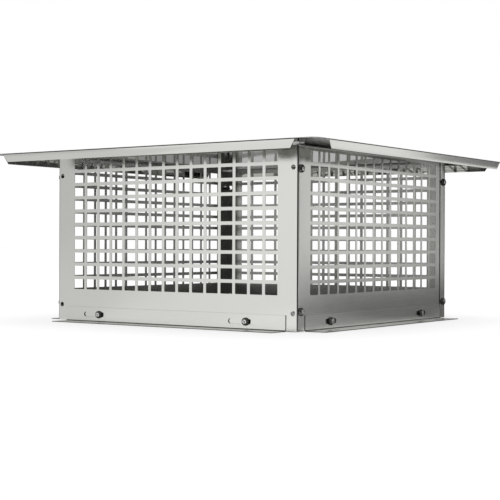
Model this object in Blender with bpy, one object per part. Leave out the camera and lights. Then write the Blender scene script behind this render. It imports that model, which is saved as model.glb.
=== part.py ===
"""Square stainless chimney cap: flat folded lid on four perforated walls with slotted foot brackets."""

import math

import bmesh
import bpy
from mathutils import Matrix, Vector

# Body of the cap, measured over the front and back walls
BODY_WIDTH = 0.435
WALL_SHEET = 0.0006
WALL_BOTTOM = 0.001
WALL_TOP = 0.2504
BEND_RADIUS = 0.0015
BEND_STEPS = 2
RETURN_WIDTH = 0.017
TOP_FLANGE_WIDTH = 0.014
TOP_FLANGE_NOTCH = 0.0026
FIT_GAP = 0.0003

# Punched windows of each wall, as many as fit between its plain margins
WINDOW_PITCH_X = 0.025
WINDOW_PITCH_Z = 0.020
WINDOW_WIDTH = 0.020
WINDOW_HEIGHT = 0.015
LOWEST_ROW_HEIGHT = 0.056
WINDOW_END_MARGIN = 0.032
WINDOW_TOP_MARGIN = 0.0065

# Round holes of the walls
HOLE_SIDES = 6
PLAIN_HOLE_DIAMETER = 0.007
SCREW_CLEARANCE = 0.0008
CORNER_INSET = 0.0075
PLAIN_HOLE_HEIGHT = 0.0247
PLAIN_HOLE_BELOW_TOP = 0.0307
CORNER_SCREW_HEIGHT = 0.027
CORNER_SCREW_BELOW_TOP = 0.0324

# Lid, one sheet with four lips folded down and its corners notched
LID_OVERHANG = 0.0748
LID_SHEET = 0.0006
LID_CORNER_RADIUS = 0.014
LIP_DROP = 0.0128
LIP_FOLD_DEGREES = 97.0
LIP_END_INSET_TOP = 0.032
LIP_END_INSET_BOTTOM = 0.0395

# Foot brackets, the same angle on every side
FOOT_SHEET = 0.001
FOOT_END_SETBACK = 0.0185
FOOT_LEG_HEIGHT = 0.022
FOOT_REACH = 0.0332
FOOT_SCREW_FROM_END = 0.065
FOOT_SCREW_HEIGHT = 0.0113
FOOT_SLOT_LENGTH = 0.0443
FOOT_SLOT_WIDTH = 0.0072
FOOT_SLOT_SHIFT = -0.0075
FOOT_SLOT_END_STEPS = 3
ANCHOR_HOLE_DIAMETER = 0.0065
ANCHOR_HOLE_FROM_END = 0.049
ANCHOR_HOLE_REACH = 0.021

# Self-tapping screws with wide domed heads
SCREW_SIDES = 8
SCREW_DIAMETER = 0.0048
SCREW_HEAD_DIAMETER = 0.0113
SCREW_HEAD_FLAT = 0.0075
SCREW_HEAD_HEIGHT = 0.0036
SCREW_LENGTH = 0.013
SCREW_TIP_LENGTH = 0.004

PUNCH_DEPTH = 0.006
HALF_BODY = BODY_WIDTH / 2
SIDE_WALL_INSET = WALL_SHEET + FIT_GAP
HALF_FLANGE = HALF_BODY - SIDE_WALL_INSET - TOP_FLANGE_WIDTH - TOP_FLANGE_NOTCH
PLAIN_HOLE_HEIGHTS = (PLAIN_HOLE_HEIGHT, WALL_TOP - PLAIN_HOLE_BELOW_TOP)
CORNER_SCREW_HEIGHTS = (CORNER_SCREW_HEIGHT, WALL_TOP - CORNER_SCREW_BELOW_TOP)
HALF_FOOT = HALF_BODY - FOOT_END_SETBACK
FOOT_SCREW_OFFSET = HALF_FOOT - FOOT_SCREW_FROM_END
ANCHOR_HOLE_OFFSET = HALF_FOOT - ANCHOR_HOLE_FROM_END
HALF_LID = HALF_BODY + LID_OVERHANG


def clear_scene():
    for item in list(bpy.data.objects):
        bpy.data.objects.remove(item, do_unlink=True)


def metal(name, colour, roughness):
    material = bpy.data.materials.new(name)
    material.use_nodes = True
    shader = material.node_tree.nodes["Principled BSDF"]
    shader.inputs["Base Color"].default_value = (*colour, 1.0)
    shader.inputs["Metallic"].default_value = 1.0
    shader.inputs["Roughness"].default_value = roughness
    return material


def add_object(name, bm, parent=None, material=None):
    mesh = bpy.data.meshes.new(name)
    bm.to_mesh(mesh)
    bm.free()
    item = bpy.data.objects.new(name, mesh)
    bpy.context.collection.objects.link(item)
    item.parent = parent
    if material:
        mesh.materials.append(material)
    return item


def as_cutter(item):
    item.hide_render = True
    item.display_type = "WIRE"
    return item


def thicken(item, thickness):
    solid = item.modifiers.new("sheet_thickness", "SOLIDIFY")
    solid.thickness = thickness
    solid.offset = -1.0
    solid.use_even_offset = True
    solid.use_quality_normals = True


def cut(item, cutter):
    opening = item.modifiers.new("cut_" + cutter.name, "BOOLEAN")
    opening.operation = "DIFFERENCE"
    opening.solver = "EXACT"
    opening.object = cutter


def fold(bm, edge, profile):
    """Carry a sheet edge through a profile; each entry gives the next two edge points."""
    first, second = edge
    for point_a, point_b in profile:
        next_first = bm.verts.new(point_a)
        next_second = bm.verts.new(point_b)
        bm.faces.new((first, second, next_second, next_first))
        first, second = next_first, next_second


def bend_arc(radius, degrees, steps):
    """Offsets along the old sheet direction and across it, from the fold line to the end of the bend."""
    offsets = []
    for step in range(1, steps + 1):
        angle = math.radians(degrees) * step / steps
        offsets.append((radius * math.sin(angle), radius * (1 - math.cos(angle))))
    return offsets


def add_cylinder(bm, centre, axis, diameter, length, sides):
    turn = Vector((0, 0, 1)).rotation_difference(Vector(axis)).to_matrix().to_4x4()
    spin = Matrix.Rotation(math.pi / sides, 4, "Z")
    place = Matrix.Translation(centre) @ turn @ spin
    bmesh.ops.create_cone(bm, cap_ends=True, segments=sides, radius1=diameter / 2,
                          radius2=diameter / 2, depth=length, matrix=place)


def add_slot(bm, centre, length, width, depth):
    """Upright round-ended slot through a sheet that lies in the XZ plane."""
    outline = []
    for side, start in ((1, -90), (-1, 90)):
        for step in range(FOOT_SLOT_END_STEPS + 1):
            angle = math.radians(start + 180 * step / FOOT_SLOT_END_STEPS)
            x = centre[0] + side * (length - width) / 2 + math.cos(angle) * width / 2
            z = centre[2] + math.sin(angle) * width / 2
            outline.append(bm.verts.new((x, centre[1] - depth / 2, z)))
    face = bm.faces.new(outline)
    extruded = bmesh.ops.extrude_face_region(bm, geom=[face])
    moved = [element for element in extruded["geom"] if isinstance(element, bmesh.types.BMVert)]
    bmesh.ops.translate(bm, verts=moved, vec=(0, depth, 0))
    bmesh.ops.recalc_face_normals(bm, faces=bm.faces)


def windows_along(length, pitch, size):
    """How many windows of one pitch and size stand in a length, which needs no gap after the last."""
    return math.floor((length + pitch - size) / pitch)


def window_punch(name, parent):
    """One window, repeated along the wall and up it."""
    columns = windows_along(BODY_WIDTH - 2 * WINDOW_END_MARGIN, WINDOW_PITCH_X, WINDOW_WIDTH)
    lowest_edge = LOWEST_ROW_HEIGHT - WINDOW_HEIGHT / 2
    rows = windows_along(WALL_TOP - WINDOW_TOP_MARGIN - lowest_edge, WINDOW_PITCH_Z, WINDOW_HEIGHT)
    bm = bmesh.new()
    bmesh.ops.create_cube(bm, size=1.0)
    bmesh.ops.scale(bm, vec=(WINDOW_WIDTH, PUNCH_DEPTH, WINDOW_HEIGHT), verts=bm.verts)
    punch = add_object(name, bm, parent)
    punch.location = (-WINDOW_PITCH_X * (columns - 1) / 2, 0, LOWEST_ROW_HEIGHT)
    for label, count, step in (("columns", columns, (WINDOW_PITCH_X, 0, 0)),
                               ("rows", rows, (0, 0, WINDOW_PITCH_Z))):
        repeat = punch.modifiers.new(label, "ARRAY")
        repeat.count = count
        repeat.use_relative_offset = False
        repeat.use_constant_offset = True
        repeat.constant_offset_displace = step
        repeat.use_merge_vertices = False
    return as_cutter(punch)


def wall_sheet(bm, half_width, has_returns):
    """Outer skin of a wall: flat face, folded top flange and, if asked for, folded ends."""
    fold_z = WALL_TOP - BEND_RADIUS
    fold_x = half_width - BEND_RADIUS if has_returns else half_width
    bottom_left = bm.verts.new((-fold_x, 0, WALL_BOTTOM))
    bottom_right = bm.verts.new((fold_x, 0, WALL_BOTTOM))
    top_right = bm.verts.new((fold_x, 0, fold_z))
    flange_right = bm.verts.new((HALF_FLANGE, 0, fold_z))
    flange_left = bm.verts.new((-HALF_FLANGE, 0, fold_z))
    top_left = bm.verts.new((-fold_x, 0, fold_z))
    bm.faces.new((bottom_left, bottom_right, top_right, flange_right, flange_left, top_left))

    arc = bend_arc(BEND_RADIUS, 90, BEND_STEPS)
    profile = [(depth, fold_z + rise) for rise, depth in arc]
    profile.append((TOP_FLANGE_WIDTH, WALL_TOP))
    fold(bm, (flange_left, flange_right), [((-HALF_FLANGE, y, z), (HALF_FLANGE, y, z)) for y, z in profile])

    if has_returns:
        for side, edge in ((1, (top_right, bottom_right)), (-1, (bottom_left, top_left))):
            heights = [vert.co.z for vert in edge]
            steps = [(side * (fold_x + out), depth) for out, depth in arc]
            steps.append((side * half_width, RETURN_WIDTH))
            fold(bm, edge, [((x, y, heights[0]), (x, y, heights[1])) for x, y in steps])
    bmesh.ops.recalc_face_normals(bm, faces=bm.faces)
    outward = [face for face in bm.faces if abs(face.normal.y) > 0.9]
    if outward and outward[0].normal.y > 0:
        bmesh.ops.reverse_faces(bm, faces=bm.faces)


def make_wall(name, inset, turn, has_returns, material, parent):
    bm = bmesh.new()
    wall_sheet(bm, HALF_BODY if has_returns else HALF_BODY - SIDE_WALL_INSET, has_returns)
    wall = add_object(name, bm, parent, material)
    wall.rotation_euler = (0, 0, math.radians(turn))
    wall.location = Matrix.Rotation(math.radians(turn), 3, "Z") @ Vector((0, -(HALF_BODY - inset), 0))
    thicken(wall, WALL_SHEET)
    cut(wall, window_punch(name + "_windows", wall))

    screw_hole = SCREW_DIAMETER + SCREW_CLEARANCE
    corner_x = HALF_BODY - CORNER_INSET
    holes = bmesh.new()
    for side in (-1, 1):
        add_cylinder(holes, (side * FOOT_SCREW_OFFSET, 0, FOOT_SCREW_HEIGHT), (0, 1, 0), screw_hole,
                     PUNCH_DEPTH, HOLE_SIDES)
        if has_returns:
            for height in PLAIN_HOLE_HEIGHTS:
                add_cylinder(holes, (side * corner_x, 0, height), (0, 1, 0), PLAIN_HOLE_DIAMETER,
                             PUNCH_DEPTH, HOLE_SIDES)
            for height in CORNER_SCREW_HEIGHTS:
                add_cylinder(holes, (side * HALF_BODY, CORNER_INSET, height), (1, 0, 0), screw_hole,
                             PUNCH_DEPTH, HOLE_SIDES)
        else:
            for height in CORNER_SCREW_HEIGHTS:
                add_cylinder(holes, (side * corner_x, 0, height), (0, 1, 0), screw_hole,
                             PUNCH_DEPTH, HOLE_SIDES)
    cut(wall, as_cutter(add_object(name + "_round_holes", holes, wall)))
    return wall


def make_foot(name, inset, turn, material, parent):
    """Angle bracket: slotted leg against the wall, flat flange turned outward at the bottom."""
    arc = bend_arc(BEND_RADIUS, 90, BEND_STEPS)
    bm = bmesh.new()
    edge = (bm.verts.new((-HALF_FOOT, 0, FOOT_LEG_HEIGHT)), bm.verts.new((HALF_FOOT, 0, FOOT_LEG_HEIGHT)))
    steps = [(0, BEND_RADIUS)]
    steps += [(-back, BEND_RADIUS - down) for down, back in arc]
    steps.append((-FOOT_REACH, 0))
    fold(bm, edge, [((-HALF_FOOT, y, z), (HALF_FOOT, y, z)) for y, z in steps])
    bm.faces.ensure_lookup_table()
    bmesh.ops.recalc_face_normals(bm, faces=bm.faces)
    if bm.faces[0].normal.y < 0:
        bmesh.ops.reverse_faces(bm, faces=bm.faces)
    foot = add_object(name, bm, parent, material)
    foot.rotation_euler = (0, 0, math.radians(turn))
    offset = Vector((0, -(HALF_BODY - inset + FIT_GAP), 0))
    foot.location = Matrix.Rotation(math.radians(turn), 3, "Z") @ offset
    thicken(foot, FOOT_SHEET)

    openings = bmesh.new()
    for side in (-1, 1):
        slot_x = side * FOOT_SCREW_OFFSET + FOOT_SLOT_SHIFT
        add_slot(openings, (slot_x, 0, FOOT_SCREW_HEIGHT), FOOT_SLOT_LENGTH, FOOT_SLOT_WIDTH, PUNCH_DEPTH)
        add_cylinder(openings, (side * ANCHOR_HOLE_OFFSET, -ANCHOR_HOLE_REACH, 0), (0, 0, 1),
                     ANCHOR_HOLE_DIAMETER, PUNCH_DEPTH, HOLE_SIDES)
    cut(foot, as_cutter(add_object(name + "_openings", openings, foot)))
    return foot


def make_lid(name, material, parent):
    """Square sheet with rounded corner tips and a folded lip along each side between the notches."""
    top = WALL_TOP + FIT_GAP + LID_SHEET
    fold_line = HALF_LID - BEND_RADIUS
    lip_top = HALF_LID - LIP_END_INSET_TOP
    lip_bottom = HALF_LID - LIP_END_INSET_BOTTOM
    arc = bend_arc(BEND_RADIUS, LIP_FOLD_DEGREES, BEND_STEPS)
    lean = math.radians(LIP_FOLD_DEGREES - 90)
    flat_drop = LIP_DROP - arc[-1][1]

    bm = bmesh.new()
    outline = []
    edges = []
    for quarter in range(4):
        turn = Matrix.Rotation(math.radians(90 * quarter), 3, "Z")
        left = bm.verts.new(turn @ Vector((-lip_top, -fold_line, top)))
        right = bm.verts.new(turn @ Vector((lip_top, -fold_line, top)))
        edges.append((right, left, turn))
        outline += [left, right]
        centre = fold_line - LID_CORNER_RADIUS
        for step in range(BEND_STEPS + 1):
            angle = math.radians(-90 + 90 * step / BEND_STEPS)
            tip = Vector((centre + LID_CORNER_RADIUS * math.cos(angle),
                          -centre + LID_CORNER_RADIUS * math.sin(angle), top))
            outline.append(bm.verts.new(turn @ tip))
    bm.faces.new(outline)
    for right, left, turn in edges:
        profile = [(lip_top, -(fold_line + out), top - down) for out, down in arc]
        foot_y = -(fold_line + arc[-1][0] - flat_drop * math.tan(lean))
        profile.append((lip_bottom, foot_y, top - LIP_DROP))
        right_points = [turn @ Vector(point) for point in profile]
        left_points = [turn @ Vector((-x, y, z)) for x, y, z in profile]
        fold(bm, (right, left), zip(right_points, left_points))
    bmesh.ops.recalc_face_normals(bm, faces=bm.faces)
    flat = max(bm.faces, key=lambda face: face.calc_area())
    if flat.normal.z < 0:
        bmesh.ops.reverse_faces(bm, faces=bm.faces)
    lid = add_object(name, bm, parent, material)
    thicken(lid, LID_SHEET)
    return lid


def screw_mesh():
    """Bevelled head and pointed shank, head underside at the origin, shank along +Y."""
    rings = ((SCREW_HEAD_FLAT / 2, -SCREW_HEAD_HEIGHT), (SCREW_HEAD_DIAMETER / 2, 0),
             (SCREW_DIAMETER / 2, 0), (SCREW_DIAMETER / 2, SCREW_LENGTH - SCREW_TIP_LENGTH))
    bm = bmesh.new()
    loops = []
    for radius, y in rings:
        loop = []
        for step in range(SCREW_SIDES):
            angle = 2 * math.pi * (step + 0.5) / SCREW_SIDES
            loop.append(bm.verts.new((radius * math.cos(angle), y, radius * math.sin(angle))))
        loops.append(loop)
    for near, far in zip(loops, loops[1:]):
        for step in range(SCREW_SIDES):
            after = (step + 1) % SCREW_SIDES
            bm.faces.new((near[step], near[after], far[after], far[step]))
    bm.faces.new(loops[0])
    point = bm.verts.new((0, SCREW_LENGTH, 0))
    for step in range(SCREW_SIDES):
        bm.faces.new((loops[-1][step], loops[-1][(step + 1) % SCREW_SIDES], point))
    bmesh.ops.recalc_face_normals(bm, faces=bm.faces)
    return bm


def shared_mesh(name, bm, material):
    mesh = bpy.data.meshes.new(name)
    bm.to_mesh(mesh)
    bm.free()
    mesh.materials.append(material)
    mesh.shade_smooth()
    mesh.set_sharp_from_angle(angle=math.radians(40))
    return mesh


def add_screw(name, mesh, position, turn, parent):
    """Place the shared screw mesh with its shank pointing into the cap."""
    screw = bpy.data.objects.new(name, mesh)
    bpy.context.collection.objects.link(screw)
    screw.parent = parent
    screw.rotation_euler = (0, 0, math.radians(turn))
    screw.location = Matrix.Rotation(math.radians(turn), 3, "Z") @ Vector(position)
    return screw


def main():
    clear_scene()
    satin = metal("satin_stainless", (0.68, 0.68, 0.65), 0.28)
    lid_finish = metal("lid_stainless", (0.70, 0.70, 0.68), 0.26)
    foot_finish = metal("foot_stainless", (0.64, 0.64, 0.61), 0.32)
    screw_finish = metal("screw_stainless", (0.55, 0.55, 0.54), 0.22)

    cap = bpy.data.objects.new("cap_centre", None)
    bpy.context.collection.objects.link(cap)

    make_lid("lid", lid_finish, cap)
    screw = shared_mesh("screw", screw_mesh(), screw_finish)

    # The front and back walls fold round the ends of the right and left walls
    corner_names = {"right": ("front_right", "back_right"), "left": ("back_left", "front_left")}
    for side, turn in (("front", 0), ("right", 90), ("back", 180), ("left", 270)):
        has_returns = side not in corner_names
        inset = 0 if has_returns else SIDE_WALL_INSET
        make_wall(side + "_wall", inset, turn, has_returns, satin, cap)
        make_foot(side + "_foot", inset, turn, foot_finish, cap)

        foot_face = HALF_BODY - inset + FIT_GAP + FOOT_SHEET
        for label, across in (("left", -FOOT_SCREW_OFFSET), ("right", FOOT_SCREW_OFFSET)):
            seat = (across, -(foot_face + FIT_GAP), FOOT_SCREW_HEIGHT)
            add_screw(f"{side}_foot_screw_{label}", screw, seat, turn, cap)

        for corner, across in zip(corner_names.get(side, ()), (-1, 1)):
            for level, height in zip(("lower", "upper"), CORNER_SCREW_HEIGHTS):
                seat = (across * (HALF_BODY - CORNER_INSET), -(HALF_BODY + FIT_GAP), height)
                add_screw(f"corner_screw_{corner}_{level}", screw, seat, turn, cap)


main()
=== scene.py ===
import math

import bmesh
import bpy
from mathutils import Matrix, Vector


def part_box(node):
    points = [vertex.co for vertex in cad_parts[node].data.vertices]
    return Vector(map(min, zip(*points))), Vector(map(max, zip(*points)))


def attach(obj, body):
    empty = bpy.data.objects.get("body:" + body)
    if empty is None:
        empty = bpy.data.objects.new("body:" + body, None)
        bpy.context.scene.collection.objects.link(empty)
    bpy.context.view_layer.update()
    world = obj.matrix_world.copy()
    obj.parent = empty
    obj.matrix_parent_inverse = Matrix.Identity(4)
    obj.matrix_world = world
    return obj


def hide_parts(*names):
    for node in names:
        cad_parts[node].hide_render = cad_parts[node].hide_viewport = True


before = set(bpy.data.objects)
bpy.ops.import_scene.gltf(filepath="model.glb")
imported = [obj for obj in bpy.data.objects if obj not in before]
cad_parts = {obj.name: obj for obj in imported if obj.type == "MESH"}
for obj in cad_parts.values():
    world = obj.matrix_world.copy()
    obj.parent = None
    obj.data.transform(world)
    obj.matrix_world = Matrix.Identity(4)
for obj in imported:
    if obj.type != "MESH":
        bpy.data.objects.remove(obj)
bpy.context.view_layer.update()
print("frame loaded:", len(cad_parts), "nodes")


# A socket whose arithmetic adds Math nodes, and the maker of every other node
class Wire:
    def __init__(self, maker, socket):
        self.maker = maker
        self.socket = socket

    def maths(self, operation, *values):
        return self.maker.add("ShaderNodeMath", {"operation": operation}, dict(enumerate(values)))

    def __add__(self, other):
        return self.maths("ADD", self, other)

    def __radd__(self, other):
        return self.maths("ADD", other, self)

    def __sub__(self, other):
        return self.maths("SUBTRACT", self, other)

    def __rsub__(self, other):
        return self.maths("SUBTRACT", other, self)

    def __mul__(self, other):
        return self.maths("MULTIPLY", self, other)

    def __rmul__(self, other):
        return self.maths("MULTIPLY", other, self)

    def __truediv__(self, other):
        return self.maths("DIVIDE", self, other)

    def __abs__(self):
        return self.maths("ABSOLUTE", self)

    def smaller(self, other):
        return self.maths("MINIMUM", self, other)

    def larger(self, other):
        return self.maths("MAXIMUM", self, other)


class Nodes:
    def __init__(self, tree):
        self.tree = tree

    def add(self, kind, settings=None, values=None, output=0):
        node = self.tree.nodes.new(kind)
        for name, value in (settings or {}).items():
            setattr(node, name, value)
        for name, value in (values or {}).items():
            if isinstance(value, Wire):
                self.tree.links.new(value.socket, node.inputs[name])
            else:
                node.inputs[name].default_value = value
        return Wire(self, node.outputs[output])

    def also(self, wire, output):
        return Wire(self, wire.socket.node.outputs[output])


# Geometry Nodes trees get named inputs, and one geometry in and out
def makeTree(name, inputs):
    tree = bpy.data.node_groups.new(name, "GeometryNodeTree")
    tree.interface.new_socket("Geometry", in_out="INPUT", socket_type="NodeSocketGeometry")
    for label, kind in inputs:
        tree.interface.new_socket(label, in_out="INPUT", socket_type="NodeSocket" + kind)
    tree.interface.new_socket("Geometry", in_out="OUTPUT", socket_type="NodeSocketGeometry")
    nodes = Nodes(tree)
    given = tree.nodes.new("NodeGroupInput")
    wires = {label: Wire(nodes, given.outputs[label]) for label, _ in [("Geometry", "")] + inputs}
    return nodes, wires


def endTree(nodes, geometry):
    result = nodes.tree.nodes.new("NodeGroupOutput")
    nodes.tree.links.new(geometry.socket, result.inputs[0])
    return nodes.tree


def applyTree(piece, tree, values):
    modifier = piece.modifiers.new(tree.name, "NODES")
    modifier.node_group = tree
    for socket in tree.interface.items_tree:
        if socket.in_out == "INPUT" and socket.name in values:
            modifier[socket.identifier] = values[socket.name]


# What every steel shares: soft clouds in tone and gloss, and a slow sag of the sheet
grainSizes = {"cloudScale": 26.0, "cloudDetail": 3.0, "cloudTone": 0.03, "cloudGloss": 0.04,
              "sagScale": 7.0, "fineDetail": 1.0}


# One steel; along and across stretch its rolling streaks, and wave is the depth of the sag in metres
def steel(name, colour, roughness, along, across, streaks=0.02, wave=0.0003):
    s = grainSizes
    material = bpy.data.materials.new(name)
    material.use_nodes = True
    nodes = Nodes(material.node_tree)
    shader = material.node_tree.nodes["Principled BSDF"]
    place = nodes.add("ShaderNodeTexCoord", output="Object")
    stretched = nodes.add("ShaderNodeMapping", {"vector_type": "POINT"},
                          {"Vector": place, "Scale": tuple(a + b for a, b in zip(along, across))})
    noises = ((stretched, 1.0, s["fineDetail"]), (place, s["cloudScale"], s["cloudDetail"]),
              (place, s["sagScale"], s["fineDetail"]))
    rolling, cloud, sag = (
        nodes.add("ShaderNodeTexNoise", {}, {"Vector": spot, "Scale": scale, "Detail": detail})
        for spot, scale, detail in noises)
    tone = 1.0 + (rolling - 0.5) * streaks + (cloud - 0.5) * s["cloudTone"]
    shade = nodes.add("ShaderNodeVectorMath", {"operation": "SCALE"}, {0: colour, "Scale": tone})
    rough = roughness + (rolling - 0.5) * streaks + (cloud - 0.5) * s["cloudGloss"]
    bump = nodes.add("ShaderNodeBump", {}, {"Height": sag * wave, "Strength": 1.0, "Distance": 1.0})
    for socket, wire in (("Base Color", shade), ("Roughness", rough), ("Normal", bump)):
        material.node_tree.links.new(wire.socket, shader.inputs[socket])
    shader.inputs["Metallic"].default_value = 1.0
    return material


# Satin outsides, a duller inside darkened with painted shade, a bright lid underside, folds painted dark as
# shade, dark sheared edges, and for the screws a dark steel painted as shade under a bright crown painted as
# highlight
satinColour = (0.760, 0.768, 0.730)
wallSteel = steel("satinWallSteel", satinColour, 0.18, (6, 6, 0), (0, 0, 900))
# The inside has a duller rolled finish, and its darker colour is painted shade for the shade under the lid
insideShadedSteel = steel("millFinishShadedSteel", (0.520, 0.526, 0.500), 0.25, (6, 6, 0), (0, 0, 300), 0.05)
lidSteel = steel("satinLidSteel", satinColour, 0.10, (6, 0, 6), (0, 900, 0))
underSteel = steel("lidUndersideSteel", (0.660, 0.666, 0.634), 0.035, (6, 0, 6), (0, 900, 0), 0.01, 0.00005)
footSteel = steel("satinFootSteel", satinColour, 0.20, (8, 8, 0), (0, 0, 900))
# Folds, and the feet's cut edges, are painted dark: a painted shade that stands for the dark a fold reflects
foldAndEdgeShadeSteel = steel("foldAndEdgePaintedShade", (0.130, 0.131, 0.125), 0.30, (40, 40, 40), (0, 0, 0), 0.05, 0.0)
edgeSteel = steel("shearedEdgeSteel", (0.250, 0.253, 0.240), 0.40, (60, 60, 60), (0, 0, 0), 0.08, 0.0)
# For the screws, a bright crown that is a painted highlight on a dark steel that is painted shade and dark
# reflection
crownHighlightSteel = steel("screwCrownPaintedHighlight", (0.85, 0.85, 0.83), 0.07, (400, 400, 400), (0, 0, 0), 0.03, 0.0)
screwShadeSteel = steel("screwShadeSteel", (0.12, 0.12, 0.115), 0.16, (400, 400, 400), (0, 0, 0), 0.03, 0.0)
print("materials made")


# In metres: points nearer than this are one, in a blank and then where the windows join it
weldGap = 1e-6
windowGap = 0.00001
rightAngle = math.radians(90)


# A rounded rectangle. A flat blank lies in XZ with its outer skin at y 0, facing -Y
def ringPoints(centre, width, height, corner, steps):
    points = []
    for turn, sx, sz in ((0, 1, -1), (1, 1, 1), (2, -1, 1), (3, -1, -1)):
        for step in range(steps + 1):
            angle = math.radians(90 * (turn - 1 + step / steps))
            points.append((centre[0] + sx * (width / 2 - corner) + corner * math.cos(angle),
                           centre[1] + sz * (height / 2 - corner) + corner * math.sin(angle)))
    return points


def circlePoints(centre, diameter, sides):
    angles = [2 * math.pi * (step + 0.5) / sides for step in range(sides)]
    return [(centre[0] + diameter / 2 * math.cos(a), centre[1] + diameter / 2 * math.sin(a)) for a in angles]


# Fills a flat outline round its holes
def fillSkin(bm, outline, holes):
    edges = []
    for loop in [outline] + holes:
        verts = [bm.verts.new((x, 0, z)) for x, z in loop]
        edges += [bm.edges.new((verts[i - 1], verts[i])) for i in range(len(verts))]
    bmesh.ops.triangle_fill(bm, use_beauty=True, use_dissolve=False, edges=edges, normal=(0, -1, 0))


# Adds rows of quads from a straight edge outwards, one for each entry
def addRows(bm, ends, offsets, direction):
    for near, far in zip(offsets, offsets[1:]):
        corners = [Vector(ends[0]) + direction * near, Vector(ends[1]) + direction * near,
                   Vector(ends[1]) + direction * far, Vector(ends[0]) + direction * far]
        bm.faces.new([bm.verts.new(corner) for corner in corners])


# True on the outline of the window field, which is given as half its width, its bottom and its top
def onField(point, field):
    halfWide, low, high = field
    return abs(max(abs(point.x) - halfWide, low - point.z, point.z - high)) < weldGap


# Turns the outer skin into a sheet; edges on the window field are left for the windows to join
def closeSheet(bm, thickness, field=None, inside=True):
    bmesh.ops.remove_doubles(bm, verts=bm.verts, dist=weldGap)
    bm.normal_update()
    bmesh.ops.reverse_faces(bm, faces=[face for face in bm.faces if face.normal.y > 0])
    rim = []
    for edge in bm.edges:
        middle = (edge.verts[0].co + edge.verts[1].co) / 2
        if edge.is_boundary and not (field and onField(middle, field)):
            rim.append(edge)
    cutLayer = bm.faces.layers.bool.new("cutEdge")
    innerLayer = bm.faces.layers.bool.new("innerFace")
    copies = {}
    for vert in list(bm.verts):
        copies[vert] = bm.verts.new(vert.co + Vector((0, thickness, 0)))
    for face in list(bm.faces):
        inner = bm.faces.new([copies[vert] for vert in reversed(face.verts)])
        inner[innerLayer] = inside
    for edge in rim:
        loop = edge.link_loops[0]
        first, second = loop.vert, loop.link_loop_next.vert
        side = bm.faces.new((second, first, copies[first], copies[second]))
        side[cutLayer] = True


def blankObject(name, bm):
    mesh = bpy.data.meshes.new(name)
    bm.to_mesh(mesh)
    bm.free()
    piece = bpy.data.objects.new(name, mesh)
    bpy.context.scene.collection.objects.link(piece)
    return piece


# Freezes a blank and its trees into a plain mesh in its place, and puts it on the part's one body
def placePiece(blank, name, nodesReplaced, place, smoothDegrees=30):
    evaluated = blank.evaluated_get(bpy.context.evaluated_depsgraph_get())
    mesh = bpy.data.meshes.new_from_object(evaluated)
    mesh.name = name
    mesh.transform(place)
    mesh.shade_smooth()
    mesh.set_sharp_from_angle(angle=math.radians(smoothDegrees))
    piece = bpy.data.objects.new(name, mesh)
    bpy.context.scene.collection.objects.link(piece)
    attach(piece, "root")
    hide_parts(*nodesReplaced)
    return piece


# Folds the edges of a flat blank towards +Y, past the fold lines in X and in Z
def foldTree():
    nodes, given = makeTree("foldEdges", [
        ("Fold X", "Float"), ("Fold Z", "Float"), ("Bend Radius", "Float"), ("Bend Angle", "Float"),
        ("Sheet", "Material"), ("Inside", "Material"), ("Bend", "Material"), ("Cut Edge", "Material")])
    radius, angle = given["Bend Radius"], given["Bend Angle"]
    geometry = given["Geometry"]
    bent = 0.0  # faces that lie in a fold
    flat = nodes.add("ShaderNodeSeparateXYZ", {}, {0: nodes.add("GeometryNodeInputPosition")})
    for axis, line in (("X", given["Fold X"]), ("Z", given["Fold Z"])):
        past = abs(nodes.also(flat, axis)) - line
        begun = past.maths("GREATER_THAN", past, windowGap)
        bent = bent + begun * past.maths("LESS_THAN", past, radius * angle)
    geometry = nodes.add("GeometryNodeStoreNamedAttribute", {"data_type": "BOOLEAN", "domain": "FACE"},
                         {"Geometry": geometry, "Name": "bend", "Value": bent})
    for axis, line in (("X", given["Fold X"]), ("Z", given["Fold Z"])):
        split = nodes.add("ShaderNodeSeparateXYZ", {}, {0: nodes.add("GeometryNodeInputPosition")})
        part = {label: nodes.also(split, label) for label in "XYZ"}
        out = abs(part[axis])
        over = (out - line).larger(0.0)
        theta = (over / radius).smaller(angle)
        rest = over - theta * radius
        arm = radius - part["Y"]
        sine, cosine = theta.maths("SINE", theta), theta.maths("COSINE", theta)
        reach = out.smaller(line) + arm * sine + rest * cosine
        part[axis] = part[axis].maths("SIGN", part[axis]) * reach
        part["Y"] = radius - arm * cosine + rest * sine
        folded = nodes.add("ShaderNodeCombineXYZ", {}, part)
        geometry = nodes.add("GeometryNodeSetPosition", {}, {"Geometry": geometry, "Position": folded})
    whole = nodes.add("GeometryNodeRealizeInstances", {}, {0: geometry})
    painted = nodes.add("GeometryNodeSetMaterial", {}, {"Geometry": whole, "Material": given["Sheet"]})
    # Faces in a fold are painted with the Bend material, a dark painted shade
    for mark, paint in (("bend", "Bend"), ("innerFace", "Inside"), ("cutEdge", "Cut Edge")):
        marked = nodes.add("GeometryNodeInputNamedAttribute", {"data_type": "BOOLEAN"}, {"Name": mark})
        painted = nodes.add("GeometryNodeSetMaterial", {}, {"Geometry": painted, "Selection": marked,
                                                            "Material": given[paint]})
    return endTree(nodes, painted)


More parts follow.
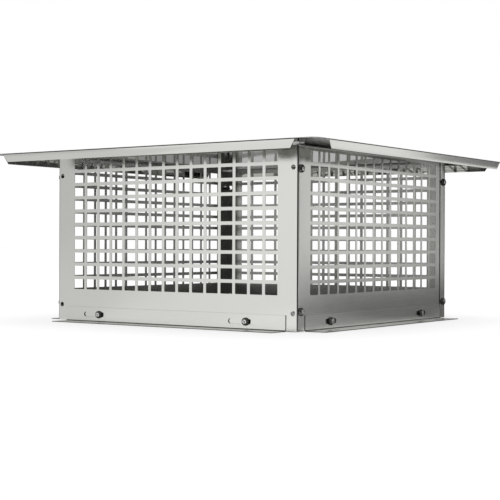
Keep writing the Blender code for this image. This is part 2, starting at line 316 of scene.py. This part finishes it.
# Repeats one window cell over the field and welds the cells to each other and to the blank
def punchTree():
    nodes, given = makeTree("punchWindows", [
        ("Cell", "Object"), ("Columns", "Int"), ("Rows", "Int"), ("Pitch X", "Float"), ("Pitch Z", "Float"),
        ("Lowest Row", "Float"), ("Sheet", "Material")])
    wide = (given["Columns"] - 1) * given["Pitch X"]
    high = (given["Rows"] - 1) * given["Pitch Z"]
    grid = nodes.add("GeometryNodeMeshGrid", {}, {"Size X": wide, "Vertices X": given["Columns"],
                                                  "Size Y": high, "Vertices Y": given["Rows"]})
    lift = nodes.add("ShaderNodeCombineXYZ", {}, {"Z": high / 2 + given["Lowest Row"]})
    upright = nodes.add("GeometryNodeTransform", {}, {"Geometry": grid, "Translation": lift,
                                                      "Rotation": (rightAngle, 0, 0)})
    cell = nodes.add("GeometryNodeObjectInfo", {}, {"Object": given["Cell"]}, "Geometry")
    copies = nodes.add("GeometryNodeInstanceOnPoints", {}, {"Points": upright, "Instance": cell})
    real = nodes.add("GeometryNodeRealizeInstances", {}, {0: copies})
    joined = nodes.add("GeometryNodeJoinGeometry", {}, {0: real})
    nodes.tree.links.new(given["Geometry"].socket, joined.socket.node.inputs[0])
    welded = nodes.add("GeometryNodeMergeByDistance", {}, {"Geometry": joined, "Distance": windowGap})
    painted = nodes.add("GeometryNodeSetMaterial", {}, {"Geometry": welded, "Material": given["Sheet"]})
    return endTree(nodes, painted)


folding = foldTree()
punching = punchTree()
print("trees made")


# Four perforated walls
wallSizes = {"sheet": 0.0006, "bend": 0.0015, "bendSteps": 8, "flange": 0.014, "notch": 0.0026,
             "pitchX": 0.025, "pitchZ": 0.020, "windowX": 0.020, "windowZ": 0.015, "windowCorner": 0.0006,
             "cornerSteps": 4, "edgeRoll": 0.00012, "columns": 15, "rows": 10, "lowestRow": 0.056,
             "plainHole": 0.007, "plainUp": 0.0247, "plainDown": 0.0307, "screwHole": 0.0056, "holeSides": 32,
             "cornerInset": 0.0075}
frontLow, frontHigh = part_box("front_wall")
halfBody = frontHigh.x
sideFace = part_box("right_wall")[1].x
wallTop = frontHigh.z
wallBottom = frontLow.z
returnWidth = frontHigh.y - frontLow.y


def middleOf(node):
    low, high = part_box(node)
    return [(a + b) / 2 for a, b in zip(low, high)]


screwHeights = [middleOf("corner_screw_front_right_" + level)[2] for level in ("lower", "upper")]
footScrewX, _, footScrewZ = middleOf("front_foot_screw_right")
plainHeights = [wallSizes["plainUp"], wallTop - wallSizes["plainDown"]]


# One window and the sheet round it, with a slightly rolled edge
def windowCell():
    s = wallSizes
    bm = bmesh.new()
    cutLayer = bm.faces.layers.bool.new("cutEdge")
    innerLayer = bm.faces.layers.bool.new("innerFace")
    roll, sheet = s["edgeRoll"], s["sheet"]
    loops = []
    for grow, depth in ((roll, 0), (0, roll), (0, sheet)):
        ring = ringPoints((0, 0), s["windowX"] + 2 * grow, s["windowZ"] + 2 * grow, s["windowCorner"] + grow,
                          s["cornerSteps"])
        loops.append([bm.verts.new((x, depth, z)) for x, z in ring])
    count = len(loops[0])
    for number, (near, far) in enumerate(zip(loops, loops[1:])):
        for i in range(count):
            face = bm.faces.new((near[i - 1], near[i], far[i], far[i - 1]))
            face[cutLayer] = number > 0
    half = s["cornerSteps"] // 2
    quarter = s["cornerSteps"] + 1
    for loop, depth, outer in ((loops[0], 0, True), (loops[-1], sheet, False)):
        corners = [bm.verts.new((sx * s["pitchX"] / 2, depth, sz * s["pitchZ"] / 2))
                   for sx, sz in ((1, -1), (1, 1), (-1, 1), (-1, -1))]
        for side in range(4):
            start = side * quarter + half
            arc = [loop[(start + i) % count] for i in range(quarter + 1)]
            ring = [corners[side], corners[(side + 1) % 4]] + arc[::-1]
            face = bm.faces.new(ring if outer else ring[::-1])
            face[innerLayer] = not outer
    return blankObject("windowCell", bm)


# A wall laid flat: its face with the holes, the top flange, and for two walls the strips at the ends
def wallBlank(name, hasReturns):
    s = wallSizes
    half = halfBody if hasReturns else sideFace
    foldX = half - s["bend"] if hasReturns else half
    foldZ = wallTop - s["bend"]
    halfFlange = sideFace - s["flange"] - s["notch"]
    fieldX = s["pitchX"] * s["columns"] / 2
    fieldLow = s["lowestRow"] - s["pitchZ"] / 2
    fieldHigh = fieldLow + s["pitchZ"] * s["rows"]
    arc = s["bend"] * rightAngle
    steps = [arc * step / s["bendSteps"] for step in range(s["bendSteps"] + 1)]
    cornerX = halfBody - s["cornerInset"]

    outline = [(-foldX, wallBottom), (foldX, wallBottom), (foldX, foldZ), (halfFlange, foldZ),
               (-halfFlange, foldZ), (-foldX, foldZ)]
    field = [(-fieldX + s["pitchX"] * i, fieldLow) for i in range(s["columns"])]
    field += [(fieldX, fieldLow + s["pitchZ"] * i) for i in range(s["rows"])]
    field += [(fieldX - s["pitchX"] * i, fieldHigh) for i in range(s["columns"])]
    field += [(-fieldX, fieldHigh - s["pitchZ"] * i) for i in range(s["rows"])]
    holes = [field]
    endHole, endHeights = (s["plainHole"], plainHeights) if hasReturns else (s["screwHole"], screwHeights)
    for side in (-1, 1):
        holes.append(circlePoints((side * footScrewX, footScrewZ), s["screwHole"], s["holeSides"]))
        for height in endHeights:
            holes.append(circlePoints((side * cornerX, height), endHole, s["holeSides"]))
    bm = bmesh.new()
    fillSkin(bm, outline, holes)
    addRows(bm, ((-halfFlange, 0, foldZ), (halfFlange, 0, foldZ)), steps + [arc + s["flange"] - s["bend"]],
            Vector((0, 0, 1)))
    if hasReturns:
        end = foldX + arc
        far = end + returnWidth - s["bend"]
        for side in (-1, 1):
            ends = ((side * foldX, 0, wallBottom), (side * foldX, 0, foldZ))
            addRows(bm, ends, steps, Vector((side, 0, 0)))
            strip = [(side * end, wallBottom), (side * far, wallBottom), (side * far, foldZ),
                     (side * end, foldZ)]
            middle = side * (end + s["cornerInset"] - s["bend"])
            fillSkin(bm, strip, [circlePoints((middle, height), s["screwHole"], s["holeSides"])
                                 for height in screwHeights])
    closeSheet(bm, s["sheet"], (fieldX, fieldLow, fieldHigh))
    return blankObject(name, bm), foldX, foldZ


cell = windowCell()

# Turn about Z in degrees, distance of the outer face from the middle, and whether its ends are turned in
wallPlaces = {"front": (0, halfBody, True), "right": (90, sideFace, False),
              "back": (180, halfBody, True), "left": (270, sideFace, False)}
for side, (turn, face, hasReturns) in wallPlaces.items():
    blank, foldX, foldZ = wallBlank(side + "WallBlank", hasReturns)
    applyTree(blank, punching, {"Cell": cell, "Columns": wallSizes["columns"], "Rows": wallSizes["rows"],
                                "Pitch X": wallSizes["pitchX"], "Pitch Z": wallSizes["pitchZ"],
                                "Lowest Row": wallSizes["lowestRow"], "Sheet": wallSteel})
    applyTree(blank, folding, {"Fold X": foldX, "Fold Z": foldZ, "Bend Radius": wallSizes["bend"],
                               "Bend Angle": rightAngle, "Sheet": wallSteel, "Inside": insideShadedSteel,
                               "Bend": foldAndEdgeShadeSteel, "Cut Edge": edgeSteel})
    place = Matrix.Rotation(math.radians(turn), 4, "Z") @ Matrix.Translation((0, -face, 0))
    wall = placePiece(blank, side + "WallSheet", [side + "_wall"], place)
    bpy.data.objects.remove(blank)
    print(wall.name, len(wall.data.polygons), "faces")
bpy.data.objects.remove(cell)


# The lid, a notched blank whose four lips fold down
lidSizes = {"sheet": 0.0006, "bend": 0.0015, "bendSteps": 8, "tipRadius": 0.014, "tipSteps": 12,
            "drop": 0.0128, "angle": math.radians(97), "lipInsetTop": 0.032, "lipInsetBottom": 0.0395}
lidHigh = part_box("lid")[1]


def lidBlank():
    s = lidSizes
    half = lidHigh.x
    fold = half - s["bend"]
    lipTop, lipBottom = half - s["lipInsetTop"], half - s["lipInsetBottom"]
    arc = s["bend"] * s["angle"]
    arcDrop = s["bend"] * (1 - math.cos(s["angle"]))
    flat = (s["drop"] - arcDrop) / math.sin(s["angle"])
    outline = []
    for quarter in range(4):
        turn = Matrix.Rotation(math.radians(90 * quarter), 2)
        outline += [turn @ Vector((-lipTop, -fold)), turn @ Vector((lipTop, -fold))]
        centre = fold - s["tipRadius"]
        for step in range(s["tipSteps"] + 1):
            angle = math.radians(-90 + 90 * step / s["tipSteps"])
            outline.append(turn @ Vector((centre + s["tipRadius"] * math.cos(angle),
                                          -centre + s["tipRadius"] * math.sin(angle))))
    bm = bmesh.new()
    fillSkin(bm, outline, [])
    steps = [arc * step / s["bendSteps"] for step in range(s["bendSteps"] + 1)]
    for quarter in range(4):
        turn = Matrix.Rotation(math.radians(-90 * quarter), 3, "Y")
        out = turn @ Vector((0, 0, 1))
        addRows(bm, (turn @ Vector((-lipTop, 0, fold)), turn @ Vector((lipTop, 0, fold))), steps, out)
        reach = fold + arc
        lip = [Vector((-lipTop, 0, reach)), Vector((lipTop, 0, reach)), Vector((lipBottom, 0, reach + flat)),
               Vector((-lipBottom, 0, reach + flat))]
        bm.faces.new([bm.verts.new(turn @ corner) for corner in lip])
    closeSheet(bm, s["sheet"])
    return blankObject("lidBlank", bm), fold


blank, foldLine = lidBlank()
applyTree(blank, folding, {"Fold X": foldLine, "Fold Z": foldLine, "Bend Radius": lidSizes["bend"],
                           "Bend Angle": lidSizes["angle"], "Sheet": lidSteel, "Inside": underSteel,
                           "Bend": foldAndEdgeShadeSteel, "Cut Edge": edgeSteel})
place = Matrix.Translation((0, 0, lidHigh.z)) @ Matrix.Rotation(-rightAngle, 4, "X")
lid = placePiece(blank, "foldedLid", ["lid"], place)
bpy.data.objects.remove(blank)
print(lid.name, len(lid.data.polygons), "faces")


# Four foot brackets, folded outwards at the bottom. A slot's ends are just short of half round, so that
# its points stay apart. The blank is raised while it folds, so that only one of its edges is past the line
footSizes = {"sheet": 0.001, "bend": 0.0020, "bendSteps": 8, "slotLength": 0.0443, "slotWidth": 0.0072,
             "slotEnd": 0.9999, "slotShift": -0.0075, "slotSteps": 12, "anchorHole": 0.0065,
             "anchorFromEnd": 0.049, "anchorReach": 0.021, "holeSides": 32, "raise": 1.0}
footLow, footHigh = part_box("front_foot")
footGap = -footHigh.y - halfBody  # from the wall's outer face to the foot's back


def footBlank():
    s = footSizes
    half = footHigh.x
    leg = footHigh.z
    reach = footHigh.y - footLow.y
    fold = -s["bend"]
    arc = s["bend"] * rightAngle
    outline = [(-half, -leg), (half, -leg), (half, fold), (-half, fold)]
    holes = []
    for side in (-1, 1):
        centre = (side * footScrewX + s["slotShift"], -footScrewZ)
        corner = s["slotWidth"] / 2 * s["slotEnd"]
        holes.append(ringPoints(centre, s["slotLength"], s["slotWidth"], corner, s["slotSteps"]))
    bm = bmesh.new()
    fillSkin(bm, outline, holes)
    steps = [arc * step / s["bendSteps"] for step in range(s["bendSteps"] + 1)]
    addRows(bm, ((-half, 0, fold), (half, 0, fold)), steps, Vector((0, 0, 1)))
    start = fold + arc
    end = start + reach - s["bend"]
    strip = [(-half, start), (half, start), (half, end), (-half, end)]
    anchorZ = start + s["anchorReach"] - s["bend"]
    fillSkin(bm, strip, [circlePoints((x, anchorZ), s["anchorHole"], s["holeSides"])
                         for x in (s["anchorFromEnd"] - half, half - s["anchorFromEnd"])])
    closeSheet(bm, s["sheet"], inside=False)
    for vert in bm.verts:
        vert.co.z += s["raise"]
    return blankObject("footBlank", bm), fold + s["raise"]


for side, (turn, face, _) in wallPlaces.items():
    blank, foldZ = footBlank()
    # Its folds and its cut edges are painted dark as shade
    applyTree(blank, folding, {"Fold X": footSizes["raise"], "Fold Z": foldZ,
                               "Bend Radius": footSizes["bend"], "Bend Angle": rightAngle, "Sheet": footSteel,
                               "Inside": footSteel, "Bend": foldAndEdgeShadeSteel, "Cut Edge": foldAndEdgeShadeSteel})
    outwards = Matrix.Rotation(math.radians(turn), 4, "Z") @ Matrix.Translation((0, -(face + footGap), 0))
    lowered = Matrix.Rotation(math.pi, 4, "X") @ Matrix.Translation((0, 0, -footSizes["raise"]))
    place = outwards @ lowered
    foot = placePiece(blank, side + "FootBracket", [side + "_foot"], place)
    bpy.data.objects.remove(blank)
    print(foot.name, len(foot.data.polygons), "faces")


# Self-tapping pan head screws with a cross recess. The two powers round the dome, the recess narrows from
# its mouth to its bed, and the crown is the middle of the head, above its level, which gets a painted
# highlight
screwSizes = {"head": 0.0113, "headHeight": 0.0036, "rim": 0.0003, "seatEdge": 0.0001, "domeSteps": 12,
              "domeOut": 0.65, "domeUp": 0.8, "crown": 0.0031, "crownLevel": -0.0031,
              "shank": 0.0048, "core": 0.0036, "length": 0.013, "tip": 0.004, "tipBlunt": 0.00002,
              "pitch": 0.0018, "threadStart": 0.0010, "threadShare": 0.5, "turnRows": 6, "sides": 32,
              "recessWidth": 0.0050, "recessSlot": 0.0013, "recessDepth": 0.0018, "recessOver": 0.001,
              "recessMouth": 0.95, "recessBed": 0.35, "footSeed": 3, "cornerSeed": 8}


# The distance from the axis to the thread at y along the shank, on one of the sides. The ridge takes its
# share of each pitch, and rises over that share of the first turn
def threadReach(y, side):
    s = screwSizes
    phase = (y / s["pitch"] - side / s["sides"]) % 1.0
    ridge = max(0.0, 1 - abs(phase - 0.5) * 2 / s["threadShare"])
    fade = min(1.0, (y - s["threadStart"]) / s["pitch"] / s["threadShare"])
    taper = min(1.0, (s["length"] - y) / s["tip"])
    return (s["core"] / 2 + (s["shank"] - s["core"]) / 2 * ridge * fade) * taper + s["tipBlunt"]


# Head underside at the origin, shank along +Y
def screwObject():
    s = screwSizes
    bm = bmesh.new()
    rows = []
    radius = s["head"] / 2
    rise = s["headHeight"] - s["rim"]
    for step in range(s["domeSteps"] + 1):
        angle = rightAngle * step / s["domeSteps"]
        rows.append((radius * math.sin(angle) ** s["domeOut"],
                     -s["rim"] - rise * math.cos(angle) ** s["domeUp"]))
    rows += [(radius, -s["seatEdge"]), (radius - s["seatEdge"], 0.0), (s["shank"] / 2, 0.0)]
    threadLength = s["length"] - s["threadStart"]
    count = round(threadLength / s["pitch"] * s["turnRows"])
    rows += [(None, s["threadStart"] + threadLength * row / count) for row in range(count + 1)]
    loops = []
    for radius, y in rows:
        loop = []
        for side in range(s["sides"]):
            angle = 2 * math.pi * side / s["sides"]
            reach = threadReach(y, side) if radius is None else radius
            loop.append(bm.verts.new((reach * math.cos(angle), y, reach * math.sin(angle))))
        loops.append(loop)
    for near, far in zip(loops, loops[1:]):
        for side in range(s["sides"]):
            bm.faces.new((near[side - 1], near[side], far[side], far[side - 1]))
    bm.faces.new(loops[-1])
    bmesh.ops.remove_doubles(bm, verts=bm.verts, dist=weldGap)
    bmesh.ops.recalc_face_normals(bm, faces=bm.faces)
    screw = blankObject("screw", bm)

    cutter = bmesh.new()
    wide, top = s["recessWidth"] / 2, -s["headHeight"]
    bed = top + s["recessDepth"]
    profile = [(-wide, top - s["recessOver"]), (wide, top - s["recessOver"]), (wide * s["recessMouth"], top),
               (wide * s["recessBed"], bed), (-wide * s["recessBed"], bed), (-wide * s["recessMouth"], top)]
    for turn in (0, 90):
        layers = []
        for z in (-s["recessSlot"] / 2, s["recessSlot"] / 2):
            points = [Matrix.Rotation(math.radians(turn), 3, "Y") @ Vector((x, y, z)) for x, y in profile]
            layers.append([cutter.verts.new(point) for point in points])
        cutter.faces.new(layers[0][::-1])
        cutter.faces.new(layers[1])
        for i in range(len(profile)):
            cutter.faces.new((layers[0][i - 1], layers[0][i], layers[1][i], layers[1][i - 1]))
    bmesh.ops.recalc_face_normals(cutter, faces=cutter.faces)
    tool = blankObject("recess", cutter)
    cut = screw.modifiers.new("recess", "BOOLEAN")
    cut.object = tool
    cut.solver = "EXACT"
    cut.use_self = True
    mesh = bpy.data.meshes.new_from_object(screw.evaluated_get(bpy.context.evaluated_depsgraph_get()))
    screw.modifiers.clear()
    screw.data = mesh
    bpy.data.objects.remove(tool)
    return screw


# Seats a screw at every point, faces it as the point says, and turns its recess by chance
def screwTree():
    nodes, given = makeTree("seatScrews", [
        ("Screw", "Object"), ("Seed", "Int"), ("Crown Radius", "Float"), ("Crown Level", "Float"),
        ("Steel", "Material"), ("Crown", "Material")])
    turn = nodes.add("GeometryNodeInputNamedAttribute", {"data_type": "FLOAT"}, {"Name": "turn"})
    # Its float range is sockets 2 and 3, and its float value is output 1
    roll = nodes.add("FunctionNodeRandomValue", {"data_type": "FLOAT"},
                     {2: 0.0, 3: rightAngle, "Seed": given["Seed"]}, 1)
    spin = nodes.add("ShaderNodeCombineXYZ", {}, {"Y": roll})
    facing = nodes.add("ShaderNodeCombineXYZ", {}, {"Z": turn})
    screw = nodes.add("GeometryNodeObjectInfo", {}, {"Object": given["Screw"]}, "Geometry")
    place = nodes.add("ShaderNodeSeparateXYZ", {}, {0: nodes.add("GeometryNodeInputPosition")})
    across, along, up = (nodes.also(place, axis) for axis in "XYZ")
    reach = along.maths("SQRT", across * across + up * up)
    crown = reach.maths("LESS_THAN", reach, given["Crown Radius"])
    crown = crown * along.maths("LESS_THAN", along, given["Crown Level"])
    screw = nodes.add("GeometryNodeStoreNamedAttribute", {"data_type": "BOOLEAN", "domain": "FACE"},
                      {"Geometry": screw, "Name": "crown", "Value": crown})
    seated = nodes.add("GeometryNodeInstanceOnPoints", {}, {"Points": given["Geometry"], "Instance": screw,
                                                            "Rotation": facing})
    rolled = nodes.add("GeometryNodeRotateInstances", {}, {"Instances": seated, "Rotation": spin})
    real = nodes.add("GeometryNodeRealizeInstances", {}, {0: rolled})
    # The screw is painted dark as shade, and its crown bright as a painted highlight
    painted = nodes.add("GeometryNodeSetMaterial", {}, {"Geometry": real, "Material": given["Steel"]})
    highlighted = nodes.add("GeometryNodeInputNamedAttribute", {"data_type": "BOOLEAN"}, {"Name": "crown"})
    painted = nodes.add("GeometryNodeSetMaterial", {}, {"Geometry": painted, "Selection": highlighted,
                                                        "Material": given["Crown"]})
    return endTree(nodes, painted)


screw = screwObject()
seating = screwTree()


# The head underside of a screw node is its seat: found from its box along the wall's normal
def seatOf(node, turn):
    low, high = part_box(node)
    out = Matrix.Rotation(math.radians(turn), 3, "Z") @ Vector((0, -1, 0))
    middle = (low + high) / 2
    reach = abs((high - low).dot(out)) / 2
    tip = middle - out * reach
    return tip + out * screwSizes["length"]


def seatScrews(name, seats, seed):
    mesh = bpy.data.meshes.new(name + "Seats")
    mesh.from_pydata([seatOf(node, turn) for node, turn in seats], [], [])
    turns = mesh.attributes.new("turn", "FLOAT", "POINT")
    turns.data.foreach_set("value", [math.radians(turn) for _, turn in seats])
    points = bpy.data.objects.new(name + "Seats", mesh)
    bpy.context.scene.collection.objects.link(points)
    applyTree(points, seating, {"Screw": screw, "Seed": seed, "Crown Radius": screwSizes["crown"],
                                "Crown Level": screwSizes["crownLevel"], "Steel": screwShadeSteel,
                                "Crown": crownHighlightSteel})
    piece = placePiece(points, name, [node for node, _ in seats], Matrix.Identity(4),
                       smoothDegrees=32)
    bpy.data.objects.remove(points)
    print(piece.name, len(piece.data.polygons), "faces")


footSeats = [(f"{side}_foot_screw_{end}", turn) for side, (turn, _, _) in wallPlaces.items()
             for end in ("left", "right")]
cornerSeats = [(f"corner_screw_{corner}_{level}", turn) for corner, turn in
               (("front_right", 90), ("back_right", 90), ("back_left", 270), ("front_left", 270))
               for level in ("lower", "upper")]
seatScrews("footScrews", footSeats, screwSizes["footSeed"])
seatScrews("cornerScrews", cornerSeats, screwSizes["cornerSeed"])
bpy.data.objects.remove(screw)


# Studio: a white floor and world, one soft lamp overhead, the camera, and grey flags that only reflections
# see. The flags decide how light or dark the steel looks, and without them it is bright and even
studioSizes = {"floorRadius": 40.0, "floorSides": 64, "floorDrop": 0.0006,
               "glowUnder": 0.05, "glowMore": 0.65, "glowEdge": 0.01,
               "flagRadius": 9.0, "flagLift": 0.00002, "flagCell": 5, "firstLift": 10,
               "lampSize": 2.0, "lampPower": 30.0, "lampPlace": (0.0, 0.3, 3.2),
               "lens": 89.63, "sensor": 36.0, "camera": (1.1176, -1.6031, 0.1151),
               "azimuth": 35.208, "pitch": -0.205, "roll": 0.243}

# Standing flags and softboxes: azimuth from -Y towards +X, height in degrees, tone
standingFlags = {
    "behindCamera": ((25, 110), (0, 10), 0.04), "frontGrey": ((0, 25), (0, 10), 0.08),
    "besideWindow": ((110, 130), (0, 10), 0.6), "sideShade": ((130, 144), (0, 12), 0.25),
    "sideSoftbox": ((144, 151), (0, 12), 0.92), "sideGrey": ((151, 155), (0, 10), 0.25),
    "sideFar": ((155, 166), (0, 10), 0.05), "rightBack": ((166, 200), (0, 10), 0.15),
    "back": ((200, 290), (0, 10), 0.45), "frontLeft": ((290, 320), (0, 12), 0.56),
    "frontSoftbox": ((320, 360), (0, 12), 0.93), "upperRight": ((0, 130), (10, 40), 0.4),
    "upperSide": ((130, 151), (12, 40), 0.4), "upperBack": ((151, 290), (10, 40), 0.4),
    "upperFront": ((290, 360), (12, 40), 0.4), "ceiling": ((0, 360), (40, 90), 0.5)}

# Flags that lie on the floor, each a little higher than the last: azimuth, distance in metres, tone
floorFlags = {
    "floorBehindCamera": ((25, 110), (0.6, 9.0), 0.04), "floorRight": ((60, 110), (0.31, 0.6), 0.3),
    "floorFront": ((0, 25), (0.6, 9.0), 0.08), "floorRightBack": ((110, 290), (0.31, 0.9), 0.13),
    "floorSide": ((110, 132), (0.9, 9.0), 0.9), "floorMid": ((132, 150), (0.9, 1.7), 0.08),
    "floorMidBack": ((150, 165), (0.9, 1.7), 0.03), "floorSideFar": ((132, 150), (1.7, 5.0), 0.45),
    "floorSideBack": ((150, 162), (1.7, 5.0), 0.12), "floorSideEnd": ((132, 162), (5.0, 9.0), 0.9),
    "floorBack": ((165, 290), (0.9, 1.7), 0.03),
    "floorFarRight": ((162, 216), (1.7, 9.0), 0.48), "floorFarLeft": ((216, 290), (1.7, 9.0), 0.26),
    "floorLeft": ((290, 325), (0.31, 9.0), 0.7), "floorWindow": ((325, 360), (1.0, 9.0), 0.87),
    "floorNearWindow": ((325, 360), (0.31, 1.0), 0.85), "besideRight": ((45, 225), (0.0, 0.31), 0.3),
    # A dark sheet under the cap: painted shade for the floor's shadow there, as reflections see it
    "underCap": ((45, 405), (0.0, 0.31), 0.08)}


# A new material without its first shader
def bareMaterial(name):
    material = bpy.data.materials.new(name)
    material.use_nodes = True
    material.node_tree.nodes.remove(material.node_tree.nodes["Principled BSDF"])
    return material, Nodes(material.node_tree)


def setSurface(material, wire):
    material.node_tree.links.new(wire.socket, material.node_tree.nodes["Material Output"].inputs["Surface"])


def glowMaterial(name, tone):
    material, nodes = bareMaterial(name)
    glow = nodes.add("ShaderNodeEmission", {}, {"Color": (tone, tone, tone, 1.0), "Strength": 1.0})
    setSurface(material, glow)
    material.cycles.emission_sampling = "NONE"
    return material


def addFlag(name, azimuths, span, tone, standing, lift=0.0):
    s = studioSizes
    cols = max(2, round((azimuths[1] - azimuths[0]) / s["flagCell"]))
    if name == "underCap":
        cols = 4  # a square, in line with the body
    rows = max(1, round((span[1] - span[0]) / s["flagCell"])) if standing else 1
    bm = bmesh.new()
    grid = []
    for row in range(rows + 1):
        out = span[0] + (span[1] - span[0]) * row / rows
        line = []
        for col in range(cols + 1):
            angle = math.radians(azimuths[0] + (azimuths[1] - azimuths[0]) * col / cols)
            if standing:
                rise = math.radians(out)
                reach, height = s["flagRadius"] * math.cos(rise), s["flagRadius"] * math.sin(rise)
            else:
                reach, height = out, lift - s["floorDrop"]
            line.append(bm.verts.new((reach * math.sin(angle), -reach * math.cos(angle), height)))
        grid.append(line)
    for near, far in zip(grid, grid[1:]):
        for col in range(cols):
            bm.faces.new((near[col], near[col + 1], far[col + 1], far[col]))
    bmesh.ops.remove_doubles(bm, verts=bm.verts, dist=weldGap)
    flag = blankObject(name + "Flag", bm)
    flag.data.materials.append(glowMaterial(name + "Flag", tone))
    flag.visible_camera = flag.visible_diffuse = flag.visible_shadow = False
    flag.visible_transmission = flag.visible_volume_scatter = False


# The floor is white paint that keeps the shadow, and partly glows white to the camera, gloss and glass: less
# under the cap, more outside it. From below it is clear
def addFloor():
    s = studioSizes
    bm = bmesh.new()
    bmesh.ops.create_circle(bm, cap_ends=True, segments=s["floorSides"], radius=s["floorRadius"])
    floor = blankObject("paleFloor", bm)
    floor.location.z = -s["floorDrop"]
    material, nodes = bareMaterial("paleFloor")
    path = nodes.add("ShaderNodeLightPath", output="Is Camera Ray")
    seen = path + nodes.also(path, "Is Glossy Ray") + nodes.also(path, "Is Transmission Ray")
    paint = nodes.add("ShaderNodeBsdfDiffuse", {}, {"Color": (1.0, 1.0, 1.0, 1.0)})
    white = nodes.add("ShaderNodeEmission", {}, {"Color": (1.0, 1.0, 1.0, 1.0), "Strength": 1.0})
    spot = nodes.add("ShaderNodeSeparateXYZ", {}, {0: nodes.add("ShaderNodeTexCoord", output="Object")})
    away = abs(spot).larger(abs(nodes.also(spot, "Y")))
    outside = away.maths("GREATER_THAN", away, halfBody - s["glowEdge"])
    glow = seen.smaller(1.0) * (s["glowUnder"] + outside * s["glowMore"])
    lit = nodes.add("ShaderNodeMixShader", {}, {0: glow, 1: paint, 2: white})
    under = nodes.also(nodes.add("ShaderNodeNewGeometry"), "Backfacing")
    clear = nodes.add("ShaderNodeBsdfTransparent")
    setSurface(material, nodes.add("ShaderNodeMixShader", {}, {0: under, 1: lit, 2: clear}))
    floor.data.materials.append(material)


def addLamp():
    s = studioSizes
    light = bpy.data.lights.new("overheadSoftbox", "AREA")
    light.size = s["lampSize"]
    light.energy = s["lampPower"]
    lamp = bpy.data.objects.new("overheadSoftbox", light)
    bpy.context.scene.collection.objects.link(lamp)
    lamp.location = s["lampPlace"]
    lamp.rotation_euler = Vector(s["lampPlace"]).to_track_quat("Z", "Y").to_euler()
    lamp.visible_camera = False


def addCamera():
    s = studioSizes
    data = bpy.data.cameras.new("photoCamera")
    data.lens = s["lens"]
    data.sensor_width = s["sensor"]
    data.sensor_fit = "HORIZONTAL"
    camera = bpy.data.objects.new("photoCamera", data)
    bpy.context.scene.collection.objects.link(camera)
    turn = Matrix.Rotation(math.radians(s["azimuth"]), 4, "Z")
    tilt = Matrix.Rotation(math.radians(90 + s["pitch"]), 4, "X")
    roll = Matrix.Rotation(math.radians(s["roll"]), 4, "Z")
    camera.matrix_world = Matrix.Translation(s["camera"]) @ turn @ tilt @ roll
    bpy.context.scene.camera = camera


addFloor()
for name, (azimuths, span, tone) in standingFlags.items():
    addFlag(name, azimuths, span, tone, True)
for number, (name, (azimuths, span, tone)) in enumerate(floorFlags.items(), studioSizes["firstLift"]):
    addFlag(name, azimuths, span, tone, False, studioSizes["flagLift"] * number)
addLamp()
addCamera()
world = bpy.data.worlds.new("studio")
bpy.context.scene.world = world
world.use_nodes = True
world.node_tree.nodes["Background"].inputs["Color"].default_value = (1.0, 1.0, 1.0, 1.0)
bpy.context.scene.view_settings.view_transform = "Standard"

print("scene ready")
